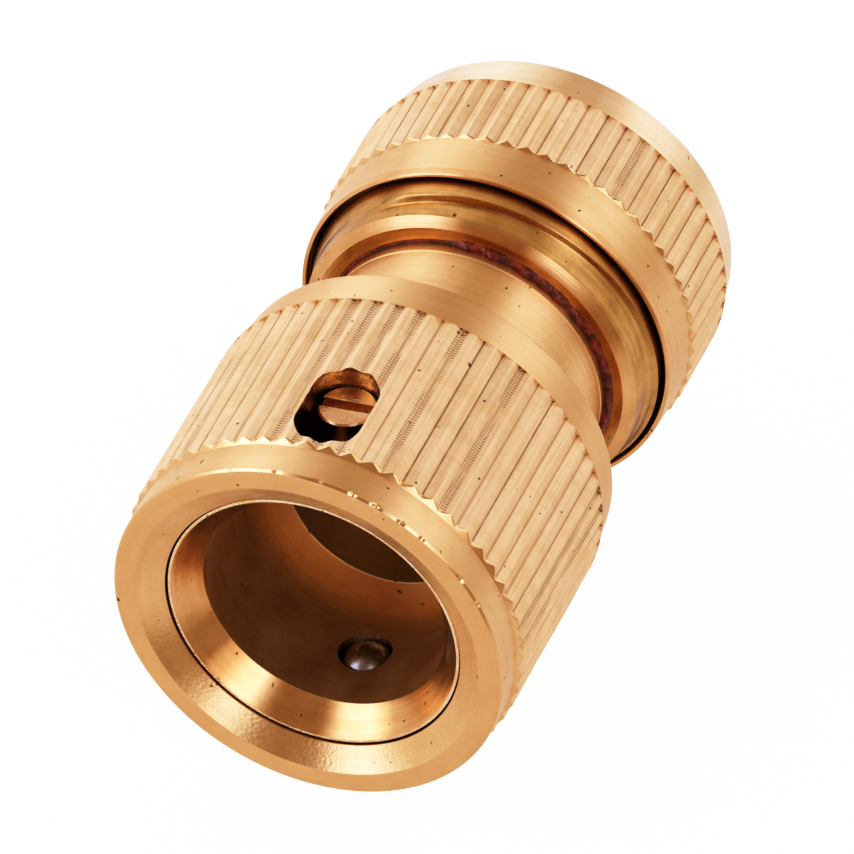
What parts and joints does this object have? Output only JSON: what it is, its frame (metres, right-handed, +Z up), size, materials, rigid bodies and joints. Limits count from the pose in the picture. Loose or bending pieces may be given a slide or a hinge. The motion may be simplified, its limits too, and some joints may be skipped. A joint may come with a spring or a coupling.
{
  "type": "garden hose quick connector",
  "caption": "Brass quick-release hose connector: knurled spring sleeve and ball-lock socket at one end, threaded clamp nut for a hose at the other.",
  "frame": {"origin": "centre of the socket's mouth, in the plane of the release sleeve's front face", "axes": "+Y along the connector's axis towards the hose end, +Z up through the stop screw's side, +X to the right"},
  "size_m": [0.029, 0.047, 0.029],
  "materials": {
    "sleeve_brass": "turned and knurled, satin",
    "body_brass": "turned",
    "screw_brass": "turned",
    "nut_brass": "turned and knurled, satin",
    "spring_steel": "drawn wire",
    "ball_steel": "polished",
    "thread_seal": "cured sealant, glossy",
    "grip_nylon": "moulded, matte"
  },
  "bodies": {
    "root": {"socket_body": "body_brass", "stop_screw": "screw_brass", "neck_seal": "thread_seal", "hose_tail": "body_brass"},
    "sleeve": {"release_sleeve": "sleeve_brass", "sleeve_spring": "spring_steel"},
    "ball_bottom": {"ball_bottom": "ball_steel"},
    "ball_right": {"ball_right": "ball_steel"},
    "ball_left": {"ball_left": "ball_steel"},
    "grip": {"grip_ring": "grip_nylon"},
    "nut": {"clamp_nut": "nut_brass"}
  },
  "joints": [
    {"name": "sleeve_slide", "type": "slide", "parent": "root", "child": "sleeve", "axis": [0, 1, 0], "range_m": [0, 0.0024], "stiffness_N_per_m": 2500, "springref_m": -0.004, "deforming": ["sleeve_spring"]},
    {"name": "ball_bottom_slide", "type": "slide", "parent": "root", "child": "ball_bottom", "axis": [0.1132, 0, -0.9936], "range_m": [0, 0.00056]},
    {"name": "ball_right_slide", "type": "slide", "parent": "root", "child": "ball_right", "axis": [0.8039, 0, 0.5948], "range_m": [0, 0.00056]},
    {"name": "ball_left_slide", "type": "slide", "parent": "root", "child": "ball_left", "axis": [-0.9171, 0, 0.3987], "range_m": [0, 0.00056]},
    {"name": "grip_advance", "type": "slide", "parent": "root", "child": "grip", "axis": [0, 1, 0], "range_m": [-0.00117, 0.007]},
    {"name": "nut_turn", "type": "hinge", "parent": "grip", "child": "nut", "pos_m": [0, 0.04, 0], "axis": [0, 1, 0], "range_deg": [-120, 720]}
  ],
  "couplings": [
    {"joint": "ball_bottom_slide", "follows": "sleeve_slide", "ratio": 0.23},
    {"joint": "ball_right_slide", "follows": "sleeve_slide", "ratio": 0.23},
    {"joint": "ball_left_slide", "follows": "sleeve_slide", "ratio": 0.23},
    {"joint": "nut_turn", "follows": "grip_advance", "rad_per_m": 1795.2}
  ]
}
